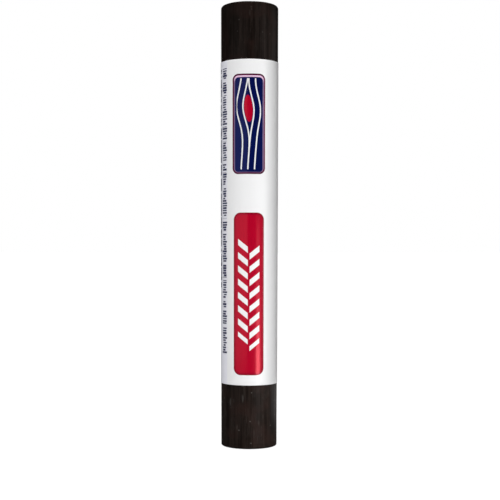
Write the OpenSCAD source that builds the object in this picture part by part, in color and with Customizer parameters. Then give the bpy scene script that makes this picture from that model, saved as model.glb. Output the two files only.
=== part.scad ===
// A soft wax stick for filling scratches in furniture: one cast stick of
// coloured wax, and one printed film label wound once round its middle.
// The stick stands on its small end, with its axis on Z and the foot at Z = 0.

/* [Wax stick] */
// Length of the stick from end face to end face
stick_length = 101.6; // [60:0.1:160]
// Diameter of the foot, before its edge is rounded
foot_diameter = 12.8; // [8:0.1:20]
// Mould draft on each side, in degrees, which lets the casting slide out
mould_draft = 0.14; // [0:0.01:0.6]
// Radius of the rounded edge at the foot
foot_round = 0.3; // [0.2:0.1:1.5]
// Radius of the rounded edge at the poured end
pour_round = 0.7; // [0.2:0.1:1.5]

/* [Shrink dish in the poured end] */
// Width of the flat ring of wax left between the rounded edge and the dish
dish_rim = 1.5; // [0.5:0.1:2.5]
// Depth of the dish at its centre, where the wax sank as it cooled
dish_depth = 0.35; // [0.1:0.05:0.8]

/* [Label] */
// Bare wax between the foot and the label
bare_foot_length = 14.45; // [5:0.05:25]
// Bare wax between the label and the poured end
bare_pour_length = 13.2; // [5:0.05:25]
// Thickness of the label film
film_thickness = 0.06; // [0.05:0.01:0.3]
// Thickness of the glue on the back of the film
glue_thickness = 0.02; // [0.01:0.01:0.1]
// Width of the strip where the label's end laps over its own start
lap_width = 3; // [1:0.1:8]
// Distance between the label's start and the place where the film climbs over it
lap_climb_gap = 0.3; // [0.1:0.05:1]
// Direction that the middle of the lap faces, in degrees from +X
lap_direction = 90; // [0:1:359]

/* [Hidden] */

wax_colour = [0.13, 0.105, 0.09];
film_colour = [0.93, 0.93, 0.93];
round_faces = 144;
edge_steps = 12;

label_foot_z = bare_foot_length;
label_pour_z = stick_length - bare_pour_length;
pour_radius = wax_radius(stick_length - pour_round);
dish_radius = pour_radius - pour_round - dish_rim;
dish_sphere_radius = (pow(dish_radius, 2) + pow(dish_depth, 2)) / (2 * dish_depth);

film_radius = wax_radius((label_foot_z + label_pour_z) / 2) + glue_thickness;
lap_offset = glue_thickness + film_thickness + glue_thickness;
start_angle = lap_direction - wrap_angle(lap_width) / 2;
end_angle = start_angle + wrap_angle(lap_width);
climb_end_angle = start_angle - wrap_angle(lap_climb_gap);
climb_start_angle = climb_end_angle - wrap_angle(2 * film_thickness);
riser_start_angle = climb_start_angle + wrap_angle(film_thickness / 2);
riser_end_angle = climb_end_angle - wrap_angle(film_thickness / 2);

// Radius of the drafted side at a height above the foot
function wax_radius(z) = foot_diameter / 2 + z * tan(mould_draft);

// Angle that a width of the wound film takes up round the stick
function wrap_angle(width) = width / film_radius * 180 / PI;

// Points of a rounded edge in the outline, from one direction to another
function edge_arc(centre, radius, from_angle, to_angle) = [
    for (step = [0 : edge_steps])
        let (angle = from_angle + (to_angle - from_angle) * step / edge_steps)
            centre + radius * [cos(angle), sin(angle)]
];

// Half of the stick's outline, to be turned about Z. Each rounded edge meets the
// end face and the drafted side without a corner.
module stick_outline() {
    foot_centre = [wax_radius(foot_round) - foot_round / cos(mould_draft), foot_round];
    pour_centre = [pour_radius - pour_round / cos(mould_draft), stick_length - pour_round];
    polygon(concat(
        [[0, 0]],
        edge_arc(foot_centre, foot_round, -90, -mould_draft),
        edge_arc(pour_centre, pour_round, -mould_draft, 90),
        [[0, stick_length]]
    ));
}

// The cast stick, with the dish where the wax sank as it set
module wax_stick() {
    color(wax_colour)
        difference() {
            rotate_extrude($fn = round_faces) stick_outline();
            translate([0, 0, stick_length + dish_sphere_radius - dish_depth])
                sphere(r = dish_sphere_radius, $fn = round_faces);
        }
}

// A stretch of film round the drafted side, from one angle to another, as high
// as the label, with its back at an offset from the wax
module film_stretch(from_angle, to_angle, offset, thickness) {
    foot_radius = wax_radius(label_foot_z) + offset;
    top_radius = wax_radius(label_pour_z) + offset;
    rotate([0, 0, from_angle])
        rotate_extrude(angle = to_angle - from_angle, $fn = round_faces)
            polygon([
                [foot_radius, label_foot_z],
                [foot_radius + thickness, label_foot_z],
                [top_radius + thickness, label_pour_z],
                [top_radius, label_pour_z]
            ]);
}

// The printed film as it is wound: a turn on the wax, and the lap on its own
// start. Between them the film climbs in a riser, which reaches from the middle
// of the one layer to the middle of the other.
module label() {
    color(film_colour)
        union() {
            film_stretch(start_angle, climb_end_angle + 360, glue_thickness, film_thickness);
            film_stretch(riser_start_angle, riser_end_angle,
                         glue_thickness + film_thickness / 2, film_thickness + glue_thickness);
            film_stretch(climb_start_angle, end_angle, lap_offset, film_thickness);
        }
}

wax_stick();
label();
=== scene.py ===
import bpy
import math
import numpy as np
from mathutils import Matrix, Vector, noise


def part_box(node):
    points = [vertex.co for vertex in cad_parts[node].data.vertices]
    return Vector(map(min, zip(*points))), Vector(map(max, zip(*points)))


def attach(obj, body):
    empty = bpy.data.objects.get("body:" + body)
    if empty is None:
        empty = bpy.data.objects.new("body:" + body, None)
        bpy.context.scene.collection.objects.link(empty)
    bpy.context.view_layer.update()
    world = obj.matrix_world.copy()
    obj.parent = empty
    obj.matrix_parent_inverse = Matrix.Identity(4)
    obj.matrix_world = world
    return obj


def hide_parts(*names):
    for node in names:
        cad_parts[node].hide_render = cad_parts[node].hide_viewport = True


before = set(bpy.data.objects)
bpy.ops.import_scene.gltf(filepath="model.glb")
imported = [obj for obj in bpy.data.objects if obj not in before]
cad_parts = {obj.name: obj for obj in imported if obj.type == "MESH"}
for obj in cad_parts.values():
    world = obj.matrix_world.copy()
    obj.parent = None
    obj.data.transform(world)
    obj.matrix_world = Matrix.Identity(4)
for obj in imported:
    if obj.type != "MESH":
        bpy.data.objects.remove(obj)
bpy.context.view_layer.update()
mm = 0.001

# What both pieces are built on. The length, the pour radius and the label's place come from the frame.
waxLow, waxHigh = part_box("wax_stick")
labelLow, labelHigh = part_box("label")
stick = {
    "length": waxHigh[2] - waxLow[2],
    "pourRadius": waxHigh[0],               # at the top of the drafted side
    "draft": math.radians(0.14),            # slope of the side
    "pourRound": 0.7 * mm,
    "footRound": 0.3 * mm,
    "labelFoot": labelLow[2],
    "labelTop": labelHigh[2],
}


def waxRadius(z):
    fromTop = stick["length"] - stick["pourRound"] - z
    return stick["pourRadius"] - fromTop * math.tan(stick["draft"])


def smooth(x):
    x = np.clip(x, 0.0, 1.0)
    return x * x * (3.0 - 2.0 * x)


def softNoise(x, y, z):
    points = np.stack(np.broadcast_arrays(x, y, z), axis=-1)
    flat = points.reshape(-1, 3)
    values = [noise.noise(Vector(point)) for point in flat]
    return np.array(values).reshape(points.shape[:-1])


# Noise that closes on itself round the stick
def noiseAround(angle, rate, up, shift=0.0):
    return softNoise(np.cos(angle) * rate + shift, np.sin(angle) * rate, up)


def meshPiece(name, verts, faces, materials, faceMaterials=None):
    mesh = bpy.data.meshes.new(name)
    mesh.from_pydata([tuple(v) for v in verts], [], faces)
    for material in materials:
        mesh.materials.append(material)
    if faceMaterials is not None:
        mesh.polygons.foreach_set("material_index", faceMaterials)
    mesh.polygons.foreach_set("use_smooth", [True] * len(mesh.polygons))
    mesh.validate()
    mesh.update()
    piece = bpy.data.objects.new(name, mesh)
    bpy.context.scene.collection.objects.link(piece)
    return piece


# Helpers that add and join shader nodes
def plug(tree, value, socket):
    if isinstance(value, bpy.types.NodeSocket):
        tree.links.new(value, socket)
    else:
        socket.default_value = value


def addNode(tree, kind, inputs=None, **settings):
    node = tree.nodes.new(kind)
    for name, value in settings.items():
        setattr(node, name, value)
    for name, value in (inputs or {}).items():
        plug(tree, value, node.inputs[name])
    return node


def calc(tree, operation, first, second=0.0):
    node = addNode(tree, "ShaderNodeMath", operation=operation)
    for socket, value in zip(node.inputs, (first, second)):
        plug(tree, value, socket)
    return node.outputs[0]


def addShare(tree, total, value, share):
    return calc(tree, "ADD", total, calc(tree, "MULTIPLY", value, share))


def mapRange(tree, value, fromLow, fromHigh, toLow=0.0, toHigh=1.0, kind="SMOOTHSTEP"):
    node = addNode(tree, "ShaderNodeMapRange", interpolation_type=kind)
    for socket, entry in zip(node.inputs, (value, fromLow, fromHigh, toLow, toHigh)):
        plug(tree, entry, socket)
    return node.outputs[0]


def mixColour(tree, factor, first, second, blend="MIX"):
    node = addNode(tree, "ShaderNodeMix", data_type="RGBA", blend_type=blend)
    plug(tree, factor, node.inputs["Factor"])
    for name, value in (("A", first), ("B", second)):
        socket = [s for s in node.inputs if s.name == name and s.type == "RGBA"][0]
        plug(tree, value, socket)
    return [s for s in node.outputs if s.type == "RGBA"][0]


def objectPlace(tree):
    return addNode(tree, "ShaderNodeTexCoord").outputs["Object"]


def cloudNoise(tree, place, cloud):
    return addNode(tree, "ShaderNodeTexNoise", {"Vector": place, **cloud}).outputs[0]


def bumpNormal(tree, height, look):
    values = {"Strength": look["bumpStrength"], "Distance": look["bumpDistance"], "Height": height}
    return addNode(tree, "ShaderNodeBump", values).outputs[0]


def newGroup(name, inputs, outputs):
    group = bpy.data.node_groups.new(name, "ShaderNodeTree")
    for label, kind, value in inputs:
        socket = group.interface.new_socket(label, in_out="INPUT", socket_type=kind)
        socket.default_value = value
    for label, kind in outputs:
        group.interface.new_socket(label, in_out="OUTPUT", socket_type=kind)
    start = group.nodes.new("NodeGroupInput")
    end = group.nodes.new("NodeGroupOutput")
    return group, start.outputs, end.inputs


def useGroup(tree, group, **inputs):
    node = tree.nodes.new("ShaderNodeGroup")
    node.node_tree = group
    for name, value in inputs.items():
        plug(tree, value, node.inputs[name])
    return node.outputs


def newMaterial(name):
    material = bpy.data.materials.new(name)
    material.use_nodes = True
    tree = material.node_tree
    return material, tree, tree.nodes["Principled BSDF"]


number = "NodeSocketFloat"


# Place on the stick in millimetres: Around from the front, positive to the right, and Up from the foot
def makeStickPlace():
    group, _, out = newGroup("stickPlace", [], [("Around", number), ("Up", number)])
    split = addNode(group, "ShaderNodeSeparateXYZ", {"Vector": objectPlace(group)}).outputs
    frontward = calc(group, "MULTIPLY", split["Y"], -1.0)
    angle = calc(group, "ARCTAN2", split["X"], frontward)
    middleRadius = waxRadius((stick["labelFoot"] + stick["labelTop"]) / 2) / mm
    group.links.new(calc(group, "MULTIPLY", angle, middleRadius), out["Around"])
    group.links.new(calc(group, "MULTIPLY", split["Z"], 1 / mm), out["Up"])
    return group


# A printed panel with round corners. Fill is all of its ink, and Rim is strongest at its edge, for
# the darker line where ink is squeezed out. Its sizes are in millimetres on the stick.
def makePrintedPanel():
    group, given, out = newGroup(
        "printedPanel",
        [("Around", number, 0.0), ("Up", number, 0.0),
         ("Middle Around", number, 0.0), ("Middle Up", number, 0.0),
         ("Half Width", number, 3.0), ("Half Height", number, 10.0), ("Corner", number, 1.0),
         ("Edge Softness", number, 0.06), ("Rim Width", number, 0.80)],
        [("Fill", number), ("Rim", number)])
    outside = []
    for axis, size in (("Around", "Half Width"), ("Up", "Half Height")):
        fromMiddle = calc(group, "SUBTRACT", given[axis], given["Middle " + axis])
        reach = calc(group, "SUBTRACT", given[size], given["Corner"])
        outside.append(calc(group, "SUBTRACT", calc(group, "ABSOLUTE", fromMiddle), reach))
    squares = [calc(group, "POWER", calc(group, "MAXIMUM", side, 0.0), 2.0) for side in outside]
    cornerDistance = calc(group, "SQRT", calc(group, "ADD", squares[0], squares[1]))
    flatDistance = calc(group, "MINIMUM", calc(group, "MAXIMUM", outside[0], outside[1]), 0.0)
    distance = calc(group, "SUBTRACT", calc(group, "ADD", cornerDistance, flatDistance), given["Corner"])
    inward = calc(group, "MULTIPLY", distance, -1.0)
    softness = given["Edge Softness"]
    fill = mapRange(group, inward, calc(group, "MULTIPLY", softness, -1.0), softness)
    rimFade = mapRange(group, inward, 0.0, given["Rim Width"], 1.0, 0.0)
    group.links.new(fill, out["Fill"])
    group.links.new(calc(group, "MULTIPLY", fill, rimFade), out["Rim"])
    return group


# The place on the object, and the same place drawn out along the stick
def stretchedPlace(group, stretch):
    place = objectPlace(group)
    scale = addNode(group, "ShaderNodeCombineXYZ", {"X": 1.0, "Y": 1.0, "Z": stretch}).outputs[0]
    stretched = addNode(group, "ShaderNodeVectorMath", {0: place, 1: scale}, operation="MULTIPLY")
    return place, stretched.outputs[0]


# Fine marks along the stick. Streaks is a stretched noise, and Lines are thin marks where it crosses
# its middle value, in patches that cover more with a higher Share.
fineMarksLook = {
    "streak": {"Detail": 3.0, "Roughness": 0.6},
    "middle": 0.5,
    "patch": {"Scale": 260.0, "Detail": 2.0},
    "patchNone": 0.75,                      # where patches start in their noise when Share is 0
    "patchReach": 0.5,                      # how far a Share of 1 moves that down
    "patchFade": 0.08,
}


def makeFineMarks():
    look = fineMarksLook
    group, given, out = newGroup(
        "fineMarks",
        [("Scale", number, 900.0), ("Stretch", number, 0.04), ("Line Width", number, 0.02),
         ("Share", number, 0.5)],
        [("Lines", number), ("Streaks", number)])
    place, stretched = stretchedPlace(group, given["Stretch"])
    streaks = cloudNoise(group, stretched, {"Scale": given["Scale"], **look["streak"]})
    crossing = calc(group, "ABSOLUTE", calc(group, "SUBTRACT", streaks, look["middle"]))
    line = mapRange(group, crossing, 0.0, given["Line Width"], 1.0, 0.0)
    patch = cloudNoise(group, place, look["patch"])
    lowered = calc(group, "MULTIPLY", given["Share"], look["patchReach"])
    patchLow = calc(group, "SUBTRACT", look["patchNone"], lowered)
    kept = mapRange(group, patch, patchLow, calc(group, "ADD", patchLow, look["patchFade"]))
    group.links.new(calc(group, "MULTIPLY", line, kept), out["Lines"])
    group.links.new(streaks, out["Streaks"])
    return group


# Scattered specks, such as dust, pits or coarse pigment. They are solid in their inner half, and long
# ones come from a Stretch under 1.
def makeSpecks():
    group, given, out = newGroup(
        "specks",
        [("Scale", number, 700.0), ("Size", number, 0.12), ("Share", number, 0.2),
         ("Stretch", number, 1.0)],
        [("Mask", number)])
    _, stretched = stretchedPlace(group, given["Stretch"])
    cells = addNode(group, "ShaderNodeTexVoronoi", {"Vector": stretched, "Scale": given["Scale"]})
    innerHalf = calc(group, "MULTIPLY", given["Size"], 0.5)
    dot = mapRange(group, cells.outputs["Distance"], innerHalf, given["Size"], 1.0, 0.0)
    pick = addNode(group, "ShaderNodeSeparateColor", {"Color": cells.outputs["Color"]}).outputs[0]
    chosen = calc(group, "LESS_THAN", pick, given["Share"])
    group.links.new(calc(group, "MULTIPLY", dot, chosen), out["Mask"])
    return group


stickPlace = makeStickPlace()
printedPanel = makePrintedPanel()
fineMarks = makeFineMarks()
specks = makeSpecks()
print("node groups made")

# The wax stick: almost black and satin, with lengthwise streaks from the mould, and painted shade along it
# and across it
waxSettings = {
    # colours and finish
    "dark": (0.0072, 0.0045, 0.0035, 1.0),
    "light": (0.0198, 0.0134, 0.0110, 1.0),
    "reddish": (0.0215, 0.0108, 0.0088, 1.0),
    "bloom": (0.1150, 0.1080, 0.1000, 1.0),                 # pale lines, specks and smears
    "broadMarks": {"Scale": 700.0, "Stretch": 0.05, "Share": 0.4},
    "thinMarks": {"Scale": 2600.0, "Stretch": 0.03, "Share": 0.7},
    "cloud": {"Scale": 220.0, "Detail": 3.0},               # where the wax turns reddish
    "specks": {"Scale": 700.0, "Size": 0.15, "Share": 0.45},
    "smears": {"Scale": 620.0, "Size": 0.16, "Share": 0.40, "Stretch": 0.22},
    "pits": {"Scale": 1400.0, "Size": 0.22, "Share": 0.10},
    "thinShare": 0.5,                                       # thin streaks against broad ones
    "streakRange": (0.40, 0.62),
    "cloudRange": (0.46, 0.66),
    "reddishShare": 0.6,
    "lineShare": 0.16,
    "speckShare": 0.55,
    "smearShare": 0.24,
    "footPaintedShade": 1.12,                                      # painted shade: lighter by the label's foot
    "pourPaintedShade": 0.74,                                      # and darker by its top
    "pourMarks": 0.40,                                      # pale marks that are left by its top
    "paintedSideShade": 0.36,                                       # painted shade: paler to the right, darker to the left, where the lamps fall
    "roughRange": (0.3, 0.7),
    "roughLow": 0.30,
    "roughHigh": 0.42,
    "ior": 1.44,
    "gloss": 0.18,
    "broadHeight": 0.6,
    "thinHeight": 0.25,
    "pitHeight": -0.5,
    "lineHeight": -0.15,
    "bumpStrength": 0.35,
    "bumpDistance": 0.03 * mm,
    # shape
    "segments": 288,
    "footRings": (0.0, 0.3, 0.6, 0.85, 1.0),                # as shares of the flat foot's radius
    "footSteps": 8,
    "pourSteps": 12,
    "ringStep": 0.6 * mm,
    "dishRim": 1.5 * mm,
    "dishDepth": 0.35 * mm,
    "dishRings": (1.06, 1.0, 0.94, 0.85, 0.72, 0.58, 0.42, 0.26, 0.12, 0.0),
    "sideFrom": 0.9,                                        # of the foot's radius
    "sideFade": 0.08,
    "seed": 11,
    "dragMarks": 110,
    "dragWidth": (0.3, 0.9),                                # in mm
    "dragLow": (-0.3, 0.8),                                 # as shares of the stick's length
    "dragLength": (0.15, 0.6),
    "dragShare": (0.3, 1.0),                                # of the depth
    "dragDepth": 0.012 * mm,
    "dragFade": 4 * mm,
    "handWobble": 0.03 * mm,
    "wobbleRate": 1.3,
    "wobbleRise": 60,
    "coverFade": 0.5 * mm,                                  # how soon marks end under the label
    "edgeWear": 0.06 * mm,
    "wearRate": 2.2,
    "wearRise": 30,
    "wearShift": 5,
    "wearLeast": 0.2,                                       # added to the noise that picks worn places
    "wearReach": 0.5 * mm,
    "ripple": 0.05 * mm,
    "rippleRate": 700,
    "rippleUp": 3.0,
    "rippleReach": 0.5 * mm,
    "rippleFade": 0.3 * mm,
}


def waxMaterial():
    look = waxSettings
    material, tree, shader = newMaterial("castWax")
    place = objectPlace(tree)
    broad = useGroup(tree, fineMarks, **look["broadMarks"])
    thin = useGroup(tree, fineMarks, **look["thinMarks"])
    cloud = cloudNoise(tree, place, look["cloud"])
    dots = useGroup(tree, specks, **look["specks"])["Mask"]
    smears = useGroup(tree, specks, **look["smears"])["Mask"]
    pits = useGroup(tree, specks, **look["pits"])["Mask"]

    mix = {"Factor": look["thinShare"], "A": broad["Streaks"], "B": thin["Streaks"]}
    streaks = addNode(tree, "ShaderNodeMix", mix).outputs[0]
    streakMask = mapRange(tree, streaks, *look["streakRange"])
    colour = mixColour(tree, streakMask, look["dark"], look["light"])
    reddish = mapRange(tree, cloud, *look["cloudRange"])
    reddish = calc(tree, "MULTIPLY", reddish, look["reddishShare"])
    colour = mixColour(tree, reddish, colour, look["reddish"])

    up = useGroup(tree, stickPlace)["Up"]
    foot, top = stick["labelFoot"] / mm, stick["labelTop"] / mm
    # Painted shade: the wax is lighter by the label's foot and darker towards its top
    shade = mapRange(tree, up, foot, top, look["footPaintedShade"], look["pourPaintedShade"], "LINEAR")
    # Painted shade: the wax is paler to the right and darker to the left, where the lamps fall
    fromMiddle = addNode(tree, "ShaderNodeSeparateXYZ", {"Vector": place}).outputs["X"]
    paintedSideShade = calc(tree, "MULTIPLY", fromMiddle, look["paintedSideShade"] / stick["pourRadius"])
    shade = calc(tree, "MULTIPLY", shade, calc(tree, "ADD", paintedSideShade, 1.0))
    grey = {"Red": shade, "Green": shade, "Blue": shade}
    shading = addNode(tree, "ShaderNodeCombineColor", grey).outputs[0]
    colour = mixColour(tree, 1.0, colour, shading, "MULTIPLY")

    marks = calc(tree, "MULTIPLY", thin["Lines"], look["lineShare"])
    marks = calc(tree, "MAXIMUM", marks, calc(tree, "MULTIPLY", dots, look["speckShare"]))
    marks = calc(tree, "MAXIMUM", marks, calc(tree, "MULTIPLY", smears, look["smearShare"]))
    markFade = mapRange(tree, up, foot, top, 1.0, look["pourMarks"], "LINEAR")
    colour = mixColour(tree, calc(tree, "MULTIPLY", marks, markFade), colour, look["bloom"])
    tree.links.new(colour, shader.inputs["Base Color"])

    rough = mapRange(tree, thin["Streaks"], *look["roughRange"], look["roughLow"], look["roughHigh"])
    tree.links.new(rough, shader.inputs["Roughness"])
    shader.inputs["IOR"].default_value = look["ior"]
    shader.inputs["Specular IOR Level"].default_value = look["gloss"]

    height = calc(tree, "MULTIPLY", broad["Streaks"], look["broadHeight"])
    height = addShare(tree, height, thin["Streaks"], look["thinHeight"])
    height = addShare(tree, height, pits, look["pitHeight"])
    height = addShare(tree, height, thin["Lines"], look["lineHeight"])
    tree.links.new(bumpNormal(tree, height, look), shader.inputs["Normal"])
    print("wax material made")
    return material


# Half of the casting's outline, from the middle of its foot to the middle of its dish
def waxProfile():
    shape = waxSettings
    length, footRound, pourRound = stick["length"], stick["footRound"], stick["pourRound"]
    slope = math.cos(stick["draft"])
    quarter = math.radians(90)
    footMiddle = waxRadius(footRound) - footRound / slope
    pourMiddle = waxRadius(length - pourRound) - pourRound / slope
    points = [(share * footMiddle, 0.0) for share in shape["footRings"]]
    for step in range(1, shape["footSteps"] + 1):
        turn = quarter * step / shape["footSteps"]
        points.append((footMiddle + footRound * math.sin(turn), footRound * (1 - math.cos(turn))))
    rings = round((length - footRound - pourRound) / shape["ringStep"])
    for ring in range(1, rings):
        z = footRound + (length - footRound - pourRound) * ring / rings
        points.append((waxRadius(z), z))
    for step in range(shape["pourSteps"] + 1):
        turn = quarter * step / shape["pourSteps"]
        points.append((pourMiddle + pourRound * math.cos(turn),
                       length - pourRound + pourRound * math.sin(turn)))
    dishRadius = pourMiddle - shape["dishRim"]
    points.append(((pourMiddle + dishRadius) / 2, length))
    for share in shape["dishRings"]:
        depth = shape["dishDepth"] * max(0.0, 1 - share * share)
        points.append((share * dishRadius, length - depth))
    return np.array(points)


def waxStick():
    shape = waxSettings
    random = np.random.default_rng(shape["seed"])
    profile = waxProfile()
    fullTurn = 2 * math.pi
    angles = np.linspace(0, fullTurn, shape["segments"], endpoint=False)
    radius = np.repeat(profile[:, 0:1], len(angles), axis=1)
    height = np.repeat(profile[:, 1:2], len(angles), axis=1)
    side = smooth((radius / waxRadius(0) - shape["sideFrom"]) / shape["sideFade"])

    # drag marks from the mould, each a shallow groove along part of the stick
    drag = np.zeros_like(radius)
    for _ in range(shape["dragMarks"]):
        where = random.uniform(0, fullTurn)
        width = random.uniform(*shape["dragWidth"]) * mm / waxRadius(0)
        low = random.uniform(*shape["dragLow"]) * stick["length"]
        high = low + random.uniform(*shape["dragLength"]) * stick["length"]
        depth = random.uniform(*shape["dragShare"]) * shape["dragDepth"]
        away = np.abs((angles - where + math.pi) % fullTurn - math.pi)
        across = np.exp(-(away / width) ** 2)
        along = smooth((height - low) / shape["dragFade"]) * smooth((high - height) / shape["dragFade"])
        drag -= depth * across * along

    # the side wanders a little, and grooves and wander stay about the true radius
    wobble = noiseAround(angles, shape["wobbleRate"], height * shape["wobbleRise"]) * shape["handWobble"]
    unevenness = drag - drag.mean() + wobble - wobble.mean()
    aboveFoot = smooth((height - stick["labelFoot"]) / shape["coverFade"])
    belowTop = smooth((stick["labelTop"] - height) / shape["coverFade"])
    shift = unevenness * side * (1 - aboveFoot * belowTop)

    # edges rubbed a little more on one side than on the other
    endDistance = np.minimum(height, stick["length"] - height)
    rub = noiseAround(angles, shape["wearRate"], height * shape["wearRise"], shape["wearShift"])
    atEdge = np.exp(-(endDistance / shape["wearReach"]) ** 2) * side
    shift -= np.clip(rub + shape["wearLeast"], 0, 1) * atEdge * shape["edgeWear"]
    radius = np.maximum(radius + shift, 0)

    # ripples that the wax froze with inside the dish
    ripple = noiseAround(angles, radius * shape["rippleRate"], shape["rippleUp"])
    fromTop = height - stick["length"] + shape["rippleReach"]
    inDish = smooth(fromTop / shape["rippleFade"]) * (1 - side)
    height = height + (ripple - 0.5) * shape["ripple"] * inDish

    count = len(angles)
    verts = [(0.0, 0.0, profile[0, 1])]
    for ring in range(1, len(profile) - 1):
        x, y = radius[ring] * np.cos(angles), radius[ring] * np.sin(angles)
        verts.extend(np.stack([x, y, height[ring]], axis=-1))
    verts.append((0.0, 0.0, height[-1, 0]))
    faces = [(0, 1 + (a + 1) % count, 1 + a) for a in range(count)]
    for ring in range(len(profile) - 3):
        low, high = 1 + ring * count, 1 + (ring + 1) * count
        for a in range(count):
            b = (a + 1) % count
            faces.append((low + a, low + b, high + b, high + a))
    last, top = 1 + (len(profile) - 3) * count, len(verts) - 1
    faces += [(last + a, last + (a + 1) % count, top) for a in range(count)]
    return meshPiece("waxStick", verts, faces, [waxMaterial()])


# The label: glossy white film with printed panels, wound once round the stick and lapped at the back
labelSettings = {
    # colours and finish
    "film": (0.86, 0.86, 0.865, 1.0),
    "navy": (0.0016, 0.0070, 0.1060, 1.0),
    "red": (0.5500, 0.0002, 0.0240, 1.0),
    "tick": (0.0040, 0.0050, 0.0600, 1.0),
    "band": (0.815, 0.815, 0.875, 1.0),
    "outline": (0.1250, 0.0090, 0.0480, 1.0),
    "gap": (0.8000, 0.5300, 0.7300, 1.0),
    "rim": (0.240, 0.001, 0.018, 1.0),
    "rimShare": 0.85,
    "redSheen": 0.24,                                       # how much reflections take an ink's colour
    "navySheen": 0.40,
    "filmRoughness": 0.34,
    "inkRoughness": 0.15,
    "gloss": 0.50,
    "coat": 0.12,
    "coatRoughness": 0.14,
    "peel": {"Scale": 900.0, "Detail": 2.0},                # the film's faint orange peel
    "grit": {"Scale": 2400.0, "Detail": 1.0},               # coarser pigment in the red ink
    "scuffs": {"Scale": 1500.0, "Stretch": 0.15, "Share": 0.3},
    "dust": {"Scale": 900.0, "Size": 0.10, "Share": 0.04},
    "peelRoughness": 0.05,
    "scuffRoughness": 0.12,
    "scuffCoat": -0.2,
    "dustHeight": 0.6,
    "gritHeight": 1.30,
    "scuffHeight": -0.2,
    "bumpStrength": 0.25,
    "bumpDistance": 0.02 * mm,
    # shape
    "filmThickness": 0.06 * mm,
    "glueThickness": 0.02 * mm,
    "lapWidth": 3.0 * mm,
    "lapDirection": math.radians(90),
    "climb": 1.1 * mm,                                      # where the film rises over its own start
    "climbShare": 0.92,
    "columns": 300,
    "rows": 120,
    "rowsFrom": 0.25 * mm,                                  # distance of even rows from the film's edge
    "edgeRound": 0.03 * mm,
    "edgeShare": 0.3,
    "ripple": 0.012 * mm,
    "rippleRate": 2.4,
    "rippleRise": 190,
    "fineShare": 0.3,
    "fineRate": 7,
    "fineRise": 500,
    "fineShift": 4,
    "endLift": 0.05 * mm,                                   # the lap's end stands off, more at its top
    "liftFrom": 0.55,
    "liftLeast": 0.35,
    "liftReach": 14 * mm,
}
navyPanel = {"Middle Around": -0.17, "Middle Up": 73.7, "Half Width": 3.83, "Half Height": 11.35,
             "Corner": 1.4}
redPanel = {"Middle Around": -0.13, "Middle Up": 35.2, "Half Width": 3.54, "Half Height": 18.41,
            "Corner": 1.65}


def panelMask(tree, place, panel):
    return useGroup(tree, printedPanel, Around=place["Around"], Up=place["Up"], **panel)


# A panel's outline drawn smaller, by an inset all round
def insetPanel(panel, inset, corner):
    return {**panel, "Half Width": panel["Half Width"] - inset,
            "Half Height": panel["Half Height"] - inset, "Corner": corner}


# The navy panel: a maroon outline, a pale gap inside it, the navy field, which is printed a little low
# in its outline, and white lines that run up the field like wood grain and part round a red knot
grainLook = {
    "pitch": 1.50,
    "line": 0.15,
    "soft": 0.045,
    "clear": 0.32,                                          # room round the knot
    "reach": 2.25,                                          # how far out lines are drawn
    "wander": 0.22,
    "wanderRate": 0.33,
    "knotUp": 77.2,
    "knotReach": 4.4,
    "push": 1.22,
    "eyeWidth": 1.00,
    "eyeHeight": 3.2,
    "eyeEdge": 0.90,
    "outlineWidth": 0.38,
    "outlineCorner": 1.02,
    "navyInset": 0.62,
    "navyCorner": 0.80,
    "navyDrop": 0.14,
    "gapInkSide": 0.28,
    "gapInkTop": 1.0,
    "gapFadeLow": 2.2,
    "gapFadeHigh": 0.7,
    "fieldInset": 1.05,
    "fieldCorner": 0.5,
}


def grainMotif(tree, place):
    look = grainLook
    around = calc(tree, "SUBTRACT", place["Around"], navyPanel["Middle Around"])
    up = calc(tree, "SUBTRACT", place["Up"], look["knotUp"])
    sway = calc(tree, "SINE", calc(tree, "MULTIPLY", place["Up"], look["wanderRate"]))
    around = addShare(tree, around, sway, look["wander"])
    near = calc(tree, "POWER", calc(tree, "DIVIDE", up, look["knotReach"]), 2.0)
    bulge = calc(tree, "EXPONENT", calc(tree, "MULTIPLY", near, -1.0))
    push = calc(tree, "MULTIPLY", bulge, look["eyeWidth"] * look["push"])
    flow = calc(tree, "SUBTRACT", calc(tree, "ABSOLUTE", around), push)
    beat = calc(tree, "PINGPONG", flow, look["pitch"] / 2)
    lines = mapRange(tree, beat, look["line"] - look["soft"], look["line"] + look["soft"], 1.0, 0.0)
    offKnot = mapRange(tree, flow, -look["clear"], -look["clear"] + look["soft"])
    lines = calc(tree, "MULTIPLY", lines, offKnot)
    lines = calc(tree, "MULTIPLY", lines, calc(tree, "LESS_THAN", flow, look["reach"]))
    field = panelMask(tree, place, insetPanel(navyPanel, look["fieldInset"], look["fieldCorner"]))["Fill"]
    lines = calc(tree, "MULTIPLY", lines, field)

    eyeAcross = calc(tree, "POWER", calc(tree, "DIVIDE", around, look["eyeWidth"]), 2.0)
    eyeAlong = calc(tree, "POWER", calc(tree, "DIVIDE", up, look["eyeHeight"]), 2.0)
    eye = calc(tree, "SQRT", calc(tree, "ADD", eyeAcross, eyeAlong))
    knot = mapRange(tree, eye, look["eyeEdge"], 1.0, 1.0, 0.0)

    whole = panelMask(tree, place, navyPanel)["Fill"]
    inside = insetPanel(navyPanel, look["outlineWidth"], look["outlineCorner"])
    inside = panelMask(tree, place, inside)["Fill"]
    outline = calc(tree, "SUBTRACT", whole, inside)
    navyField = insetPanel(navyPanel, look["navyInset"], look["navyCorner"])
    navyField["Middle Up"] -= look["navyDrop"]
    gap = calc(tree, "SUBTRACT", inside, panelMask(tree, place, navyField)["Fill"])
    panelTop = navyPanel["Middle Up"] + navyPanel["Half Height"]
    gapInk = mapRange(tree, place["Up"], panelTop - look["gapFadeLow"], panelTop - look["gapFadeHigh"],
                      look["gapInkSide"], look["gapInkTop"])
    gap = calc(tree, "MULTIPLY", calc(tree, "MAXIMUM", gap, 0.0), gapInk)
    return lines, knot, outline, gap


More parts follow.
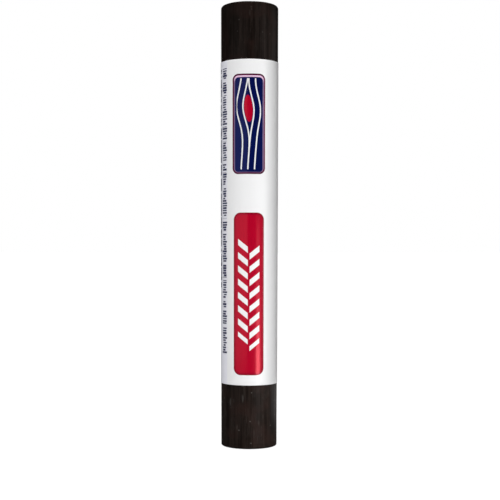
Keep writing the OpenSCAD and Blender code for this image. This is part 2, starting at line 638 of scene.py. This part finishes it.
# The red panel: white herringbone blocks down its middle, the two rows half a block apart
herringboneLook = {
    "pitch": 3.0,
    "thick": 1.40,
    "slope": 0.80,
    "gap": 0.20,
    "halfWidth": 2.45,
    "low": 23.6,
    "high": 46.4,
    "soft": 0.04,
}


def herringboneMotif(tree, place):
    look = herringboneLook
    across = calc(tree, "SUBTRACT", place["Around"], redPanel["Middle Around"])
    away = calc(tree, "ABSOLUTE", across)
    rightRow = calc(tree, "GREATER_THAN", across, 0.0)
    slanted = calc(tree, "SUBTRACT", place["Up"], calc(tree, "MULTIPLY", away, look["slope"]))
    slanted = addShare(tree, slanted, rightRow, look["pitch"] / 2)
    beat = calc(tree, "PINGPONG", slanted, look["pitch"] / 2)
    half = look["thick"] / 2
    soft = look["soft"]
    block = mapRange(tree, beat, half - soft, half + soft, 1.0, 0.0)
    inner = mapRange(tree, away, look["gap"] - soft, look["gap"] + soft)
    outer = mapRange(tree, away, look["halfWidth"] - soft, look["halfWidth"] + soft, 1.0, 0.0)
    low = mapRange(tree, slanted, look["low"], look["low"] + soft)
    high = mapRange(tree, slanted, look["high"], look["high"] + soft, 1.0, 0.0)
    side = calc(tree, "MULTIPLY", inner, outer)
    ends = calc(tree, "MULTIPLY", low, high)
    return calc(tree, "MULTIPLY", block, calc(tree, "MULTIPLY", side, ends))


# Down the label's left side: fine uneven navy ticks in two columns, in runs with gaps between them,
# on a faint tinted band
tickLook = {
    "columns": (
        {"middle": -6.72, "half": 1.02, "pitch": 0.55, "low": 21.0, "high": 86.7, "run": 5.3, "seed": 3.0},
        {"middle": -8.80, "half": 0.60, "pitch": 0.41, "low": 36.5, "high": 86.7, "run": 4.1, "seed": 71.0},
    ),
    "soft": 0.05,
    "thin": 0.14,
    "thick": 0.24,
    "short": 0.45,
    "shift": 0.50,
    "skip": 0.05,
    "sway": 0.22,
    "swayRate": 0.61,
    "gap": 0.11,
    "bandMiddle": -7.5,
    "bandHalf": 2.0,
    "bandSoft": 0.35,
}


def tickColumn(tree, place, column):
    look = tickLook
    soft = look["soft"]
    steps = calc(tree, "DIVIDE", place["Up"], column["pitch"])
    cell = calc(tree, "ADD", calc(tree, "FLOOR", steps), column["seed"])
    pick = addNode(tree, "ShaderNodeTexWhiteNoise", {"W": cell}, noise_dimensions="1D").outputs
    parts = addNode(tree, "ShaderNodeSeparateColor", {"Color": pick["Color"]}).outputs

    fromMiddle = calc(tree, "SUBTRACT", calc(tree, "FRACT", steps), 0.5)
    along = calc(tree, "ABSOLUTE", calc(tree, "MULTIPLY", fromMiddle, column["pitch"]))
    thickness = mapRange(tree, parts[0], 0.0, 1.0, look["thin"], look["thick"], "LINEAR")
    tick = mapRange(tree, calc(tree, "SUBTRACT", along, thickness), -soft, soft, 1.0, 0.0)

    shortest = column["half"] * look["short"]
    reach = mapRange(tree, parts[1], 0.0, 1.0, shortest, column["half"], "LINEAR")
    room = calc(tree, "MULTIPLY", calc(tree, "SUBTRACT", column["half"], reach), look["shift"])
    swing = calc(tree, "MULTIPLY", calc(tree, "SUBTRACT", parts[2], 0.5), 2.0)
    shift = calc(tree, "MULTIPLY", swing, room)
    away = calc(tree, "SUBTRACT", calc(tree, "SUBTRACT", place["Around"], column["middle"]), shift)
    past = calc(tree, "SUBTRACT", calc(tree, "ABSOLUTE", away), reach)
    across = mapRange(tree, past, -soft, soft, 1.0, 0.0)

    kept = calc(tree, "GREATER_THAN", pick["Value"], look["skip"])
    sway = calc(tree, "SINE", calc(tree, "MULTIPLY", place["Up"], look["swayRate"]))
    runs = addShare(tree, calc(tree, "DIVIDE", place["Up"], column["run"]), sway, look["sway"])
    inRun = calc(tree, "GREATER_THAN", calc(tree, "FRACT", runs), look["gap"])
    low = calc(tree, "GREATER_THAN", place["Up"], column["low"])
    high = calc(tree, "LESS_THAN", place["Up"], column["high"])
    inside = calc(tree, "MULTIPLY", calc(tree, "MULTIPLY", kept, inRun), calc(tree, "MULTIPLY", low, high))
    return calc(tree, "MULTIPLY", calc(tree, "MULTIPLY", across, tick), inside)


def tickMotif(tree, place):
    look = tickLook
    left, right = [tickColumn(tree, place, column) for column in look["columns"]]
    ticks = calc(tree, "MINIMUM", calc(tree, "ADD", left, right), 1.0)
    fromBand = calc(tree, "ABSOLUTE", calc(tree, "SUBTRACT", place["Around"], look["bandMiddle"]))
    band = mapRange(tree, fromBand, look["bandHalf"] - look["bandSoft"], look["bandHalf"], 1.0, 0.0)
    return ticks, band


def filmMaterial():
    look = labelSettings
    material, tree, shader = newMaterial("printedFilm")
    place = useGroup(tree, stickPlace)
    navy = panelMask(tree, place, navyPanel)
    red = panelMask(tree, place, redPanel)
    grainLines, knot, outline, gap = grainMotif(tree, place)
    blocks = herringboneMotif(tree, place)
    ticks, band = tickMotif(tree, place)

    colour = mixColour(tree, band, look["film"], look["band"])
    colour = mixColour(tree, ticks, colour, look["tick"])
    colour = mixColour(tree, navy["Fill"], colour, look["navy"])
    colour = mixColour(tree, outline, colour, look["outline"])
    colour = mixColour(tree, gap, colour, look["gap"])
    colour = mixColour(tree, grainLines, colour, look["film"])
    colour = mixColour(tree, knot, colour, look["red"])
    colour = mixColour(tree, red["Fill"], colour, look["red"])
    colour = mixColour(tree, blocks, colour, look["film"])
    rim = calc(tree, "MULTIPLY", red["Rim"], look["rimShare"])
    colour = mixColour(tree, rim, colour, look["rim"])
    tree.links.new(colour, shader.inputs["Base Color"])

    knotInk = calc(tree, "MULTIPLY", knot, navy["Fill"])
    redInk = calc(tree, "MULTIPLY", red["Fill"], calc(tree, "SUBTRACT", 1.0, blocks))
    redInk = calc(tree, "MAXIMUM", redInk, knotInk)
    pale = calc(tree, "MAXIMUM", calc(tree, "MAXIMUM", grainLines, gap), knotInk)
    navyInk = calc(tree, "MULTIPLY", navy["Fill"], calc(tree, "SUBTRACT", 1.0, pale))
    sheen = addShare(tree, calc(tree, "MULTIPLY", redInk, look["redSheen"]), navyInk, look["navySheen"])
    tree.links.new(sheen, shader.inputs["Metallic"])

    objectSpace = objectPlace(tree)
    peel = cloudNoise(tree, objectSpace, look["peel"])
    scuffs = useGroup(tree, fineMarks, **look["scuffs"])["Lines"]
    dust = useGroup(tree, specks, **look["dust"])["Mask"]
    ink = calc(tree, "MAXIMUM", redInk, navyInk)
    rough = mapRange(tree, ink, 0.0, 1.0, look["filmRoughness"], look["inkRoughness"], "LINEAR")
    rough = addShare(tree, rough, peel, look["peelRoughness"])
    rough = addShare(tree, rough, scuffs, look["scuffRoughness"])
    tree.links.new(rough, shader.inputs["Roughness"])
    coat = addShare(tree, look["coat"], scuffs, look["scuffCoat"])
    tree.links.new(coat, shader.inputs["Coat Weight"])
    shader.inputs["Coat Roughness"].default_value = look["coatRoughness"]
    shader.inputs["Specular IOR Level"].default_value = look["gloss"]

    grit = calc(tree, "MULTIPLY", cloudNoise(tree, objectSpace, look["grit"]), red["Fill"])
    height = addShare(tree, peel, dust, look["dustHeight"])
    height = addShare(tree, height, grit, look["gritHeight"])
    height = addShare(tree, height, scuffs, look["scuffHeight"])
    tree.links.new(bumpNormal(tree, height, look), shader.inputs["Normal"])
    print("printed film material made")
    return material


# The film's cut edge and the glue on its back, each mottled between two colours
cutEdgeLook = {
    "cloud": {"Scale": 3000.0, "Detail": 3.0},
    "dark": (0.70, 0.70, 0.69, 1.0),
    "light": (0.86, 0.86, 0.85, 1.0),
    "roughRange": (0.3, 0.7),
    "roughLow": 0.5,
    "roughHigh": 0.7,
}
glueLook = {
    "cloud": {"Scale": 500.0, "Detail": 3.0},
    "dark": (0.62, 0.58, 0.48, 1.0),
    "light": (0.74, 0.70, 0.60, 1.0),
    "roughRange": (0.3, 0.7),
    "roughLow": 0.25,
    "roughHigh": 0.45,
}


def mottledMaterial(name, look):
    material, tree, shader = newMaterial(name)
    cloud = cloudNoise(tree, objectPlace(tree), look["cloud"])
    tree.links.new(mixColour(tree, cloud, look["dark"], look["light"]), shader.inputs["Base Color"])
    rough = mapRange(tree, cloud, *look["roughRange"], look["roughLow"], look["roughHigh"])
    tree.links.new(rough, shader.inputs["Roughness"])
    return material


def labelSleeve():
    shape = labelSettings
    foot, top = stick["labelFoot"], stick["labelTop"]
    middleRadius = waxRadius((foot + top) / 2)
    fullTurn = 2 * math.pi
    lapAngle = shape["lapWidth"] / middleRadius
    climbAngle = shape["climb"] / middleRadius
    startAngle = shape["lapDirection"] - lapAngle / 2
    angles = startAngle + np.linspace(0, fullTurn + lapAngle, shape["columns"])
    edgeRound = shape["edgeRound"]
    edgeStep = edgeRound * shape["edgeShare"]
    heights = np.concatenate([
        [foot, foot + edgeStep, foot + edgeRound],
        np.linspace(foot + shape["rowsFrom"], top - shape["rowsFrom"], shape["rows"]),
        [top - edgeRound, top - edgeStep, top]])
    angle, z = np.meshgrid(angles, heights)
    along = angle - startAngle

    # the film climbs over its own start, then lies on it with glue between
    climb = smooth((along - fullTurn + climbAngle) / (climbAngle * shape["climbShare"]))
    offset = shape["glueThickness"] + climb * (shape["filmThickness"] + shape["glueThickness"])

    # faint ripples, all of them outward
    ripple = noiseAround(angle, shape["rippleRate"], z * shape["rippleRise"])
    fine = noiseAround(angle, shape["fineRate"], z * shape["fineRise"] + shape["fineShift"])
    ripple = np.clip(ripple + 0.5, 0, 1) + shape["fineShare"] * np.clip(fine + 0.5, 0, 1)
    offset = offset + shape["ripple"] * ripple

    # the end of the lap stands off a little, most at its top corner
    liftFrom, liftLeast, liftReach = shape["liftFrom"], shape["liftLeast"], shape["liftReach"]
    lift = smooth((along - fullTurn - lapAngle * liftFrom) / (lapAngle * (1 - liftFrom))) ** 2
    towardsTop = liftLeast + (1 - liftLeast) * smooth((z - top + liftReach) / liftReach)
    offset = offset + lift * towardsTop * shape["endLift"]

    # the film's outer edges are a little round
    edge = np.minimum(z - foot, top - z)
    fromRound = 1 - np.clip(edge / edgeRound, 0, 1)
    roundOff = edgeRound * (1 - np.sqrt(np.clip(1 - fromRound ** 2, 0, 1)))
    wax = np.array([[waxRadius(v) for v in heights]]).T
    innerRadius = wax + offset
    outerRadius = innerRadius + shape["filmThickness"] - roundOff

    filmSlot, edgeSlot, glueSlot = 0, 1, 2
    rows, columns = angle.shape
    verts, faces, slots = [], [], []
    for radius in (outerRadius, innerRadius):
        block = np.stack([radius * np.cos(angle), radius * np.sin(angle), z], axis=-1)
        verts.extend(block.reshape(-1, 3))
    count = rows * columns
    for row in range(rows - 1):
        for column in range(columns - 1):
            a = row * columns + column
            quad = (a, a + 1, a + 1 + columns, a + columns)
            faces.append(quad)
            slots.append(filmSlot)
            faces.append(tuple(count + v for v in reversed(quad)))
            slots.append(glueSlot)
    border = list(range(columns))
    border += [row * columns + columns - 1 for row in range(1, rows)]
    border += [(rows - 1) * columns + column for column in range(columns - 2, -1, -1)]
    border += [row * columns for row in range(rows - 2, 0, -1)]
    for a, b in zip(border, border[1:] + border[:1]):
        faces.append((b, a, a + count, b + count))
        slots.append(edgeSlot)
    materials = [filmMaterial(), mottledMaterial("filmCutEdge", cutEdgeLook),
                 mottledMaterial("filmBackGlue", glueLook)]
    return meshPiece("printedLabel", verts, faces, materials, slots)


waxPiece = waxStick()
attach(waxPiece, "root")
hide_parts("wax_stick")
print("wax stick made")

labelPiece = labelSleeve()
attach(labelPiece, "root")
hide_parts("label")
print("label made")

pureWhite = (1.0, 1.0, 1.0, 1.0)

# The floor: to the camera it is white with the object's shadow on it, and in the gloss it stays dim
floorLook = {
    "size": 30.0,
    "colour": (0.22, 0.22, 0.22, 1.0),      # what the shadow shows on, under the glow
    "bounce": (0.24, 0.24, 0.24, 1.0),      # for light that the floor throws back
    "mirrored": (0.03, 0.03, 0.03, 1.0),    # for the object's gloss
    "glow": 0.80,                           # white that only the camera sees
}


def floorMaterial():
    material = bpy.data.materials.new("paleFloor")
    material.use_nodes = True
    tree = material.node_tree
    tree.nodes.clear()
    out = addNode(tree, "ShaderNodeOutputMaterial")
    ray = addNode(tree, "ShaderNodeLightPath").outputs
    colour = mixColour(tree, ray["Is Camera Ray"], floorLook["bounce"], floorLook["colour"])
    colour = mixColour(tree, ray["Is Glossy Ray"], colour, floorLook["mirrored"])
    plain = addNode(tree, "ShaderNodeBsdfDiffuse", {"Color": colour})
    toCamera = calc(tree, "MULTIPLY", ray["Is Camera Ray"], floorLook["glow"])
    glow = addNode(tree, "ShaderNodeEmission", {"Color": pureWhite, "Strength": toCamera})
    lit = addNode(tree, "ShaderNodeAddShader")
    tree.links.new(plain.outputs[0], lit.inputs[0])
    tree.links.new(glow.outputs[0], lit.inputs[1])
    tree.links.new(lit.outputs[0], out.inputs[0])
    return material


def makeFloor():
    half = floorLook["size"] / 2
    corners = [(-half, -half, 0), (half, -half, 0), (half, half, 0), (-half, half, 0)]
    floor = meshPiece("floor", corners, [(0, 1, 2, 3)], [floorMaterial()])


# The world: white to the camera, and a dim even light for the rest
worldLook = {"background": 1.0, "fill": 0.07, "glossy": 0.01}


def makeWorld():
    world = bpy.data.worlds.new("studio")
    bpy.context.scene.world = world
    world.use_nodes = True
    tree = world.node_tree
    shade = tree.nodes["Background"]
    ray = addNode(tree, "ShaderNodeLightPath").outputs
    level = mapRange(tree, ray["Is Glossy Ray"], 0.0, 1.0, worldLook["fill"], worldLook["glossy"], "LINEAR")
    level = mapRange(tree, ray["Is Camera Ray"], 0.0, 1.0, level, worldLook["background"], "LINEAR")
    shade.inputs["Color"].default_value = pureWhite
    tree.links.new(level, shade.inputs["Strength"])


# Directions are from the stick: azimuth from the camera's side, positive to the right, and elevation.
# The key sun lights the front, and the other suns keep the sides and the back from going dark.
suns = {
    "keySun": {"azimuth": -17, "elevation": 48, "width": 30, "strength": 3.12, "gloss": False},
    "backLeftSun": {"azimuth": -138, "elevation": 40, "width": 40, "strength": 1.3, "gloss": False},
    "backRightSun": {"azimuth": 138, "elevation": 40, "width": 40, "strength": 1.3, "gloss": False},
    "backSun": {"azimuth": 180, "elevation": 40, "width": 30, "strength": 1.1, "gloss": False},
}
# Two of the panels light the stick right of its middle, and the rest show in its gloss alone
lightPanels = {
    "leftPanel": {"azimuth": -46, "elevation": 0, "distance": 0.15, "width": 0.234, "height": 0.12,
                  "radiance": 0.34, "aim": 0.062, "diffuse": False, "gloss": True},
    "rightPanel": {"azimuth": 61, "elevation": 0, "distance": 0.15, "width": 0.030, "height": 0.12,
                   "radiance": 1.80, "aim": 0.062, "diffuse": False, "gloss": True},
    "lowStrip": {"azimuth": 34.5, "elevation": 0, "distance": 0.07, "width": 0.018, "height": 0.019,
                 "radiance": 3.4, "aim": 0.010, "diffuse": False, "gloss": True},
    "middleStrip": {"azimuth": 34.5, "elevation": 0, "distance": 0.07, "width": 0.018, "height": 0.012,
                    "radiance": 1.6, "aim": 0.0255, "diffuse": False, "gloss": True},
    "upperStrip": {"azimuth": 33.5, "elevation": 0, "distance": 0.07, "width": 0.016, "height": 0.021,
                   "radiance": 0.5, "aim": 0.042, "diffuse": False, "gloss": True},
    "lowFrontPanel": {"azimuth": 37, "elevation": 0, "distance": 0.10, "width": 0.06, "height": 0.03,
                      "radiance": 2.65, "aim": 0.0155, "diffuse": True, "gloss": False},
    "nearStrip": {"azimuth": 29, "elevation": 0, "distance": 0.012, "width": 0.003, "height": 0.11,
                  "radiance": 1.06, "aim": 0.052, "diffuse": True, "gloss": False},
    "rightCard": {"azimuth": 108, "elevation": 0, "distance": 0.12, "width": 0.07, "height": 0.12,
                  "radiance": 0.46, "aim": 0.066, "diffuse": False, "gloss": True},
    "lowRightCard": {"azimuth": 120, "elevation": 0, "distance": 0.04, "width": 0.032, "height": 0.012,
                     "radiance": 0.70, "aim": 0.0065, "diffuse": False, "gloss": True},
    "backPanel": {"azimuth": 170, "elevation": 8, "distance": 0.20, "width": 0.05, "height": 0.14,
                  "radiance": 0.9, "aim": 0.055, "diffuse": False, "gloss": True},
    "topPanel": {"azimuth": 180, "elevation": 62, "distance": 0.20, "width": 0.050, "height": 0.050,
                 "radiance": 6.0, "aim": 0.1016, "diffuse": False, "gloss": True},
}


def lightDirection(light):
    azimuth, elevation = math.radians(light["azimuth"]), math.radians(light["elevation"])
    level = math.cos(elevation)
    return Vector((math.sin(azimuth) * level, -math.cos(azimuth) * level, math.sin(elevation)))


def placeLight(name, data, direction, location):
    light = bpy.data.objects.new(name, data)
    light.location = location
    light.rotation_euler = (-direction).to_track_quat("-Z", "Y").to_euler()
    bpy.context.scene.collection.objects.link(light)
    return light


def makeSun(name, sun):
    data = bpy.data.lights.new(name, "SUN")
    data.angle = math.radians(sun["width"])
    data.energy = sun["strength"]
    direction = lightDirection(sun)
    light = placeLight(name, data, direction, direction)
    light.visible_glossy = sun["gloss"]


def makePanelLight(name, panel):
    data = bpy.data.lights.new(name, "AREA")
    data.shape = "RECTANGLE"
    data.size, data.size_y = panel["width"], panel["height"]
    data.energy = panel["radiance"] * math.pi * panel["width"] * panel["height"]
    direction = lightDirection(panel)
    aim = Vector((0.0, 0.0, panel["aim"]))
    light = placeLight(name, data, direction, aim + direction * panel["distance"])
    light.visible_camera = False
    light.visible_diffuse = panel["diffuse"]
    light.visible_glossy = panel["gloss"]


cameraView = {
    "distance": 256 * mm,
    "height": 45.14 * mm,
    "across": 0.16 * mm,
    "roll": math.radians(-0.095),
    "sensor": 36.0,
    "focalPixels": 1102.6,                  # focal length in pixels of the picture
    "picture": 500,
    "nearest": 0.01,
}


def makeCamera():
    view = cameraView
    data = bpy.data.cameras.new("camera")
    data.sensor_width = view["sensor"]
    data.lens = view["sensor"] * view["focalPixels"] / view["picture"]
    data.clip_start = view["nearest"]
    camera = bpy.data.objects.new("camera", data)
    camera.location = (view["across"], -view["distance"], view["height"])
    camera.rotation_euler = (math.radians(90), view["roll"], 0.0)
    bpy.context.scene.collection.objects.link(camera)
    bpy.context.scene.camera = camera


makeFloor()
makeWorld()
for sunName, sunSettings in suns.items():
    makeSun(sunName, sunSettings)
for panelName, panelSettings in lightPanels.items():
    makePanelLight(panelName, panelSettings)
makeCamera()
bpy.context.scene.view_settings.view_transform = "Standard"
print("floor, world, lights and camera ready")
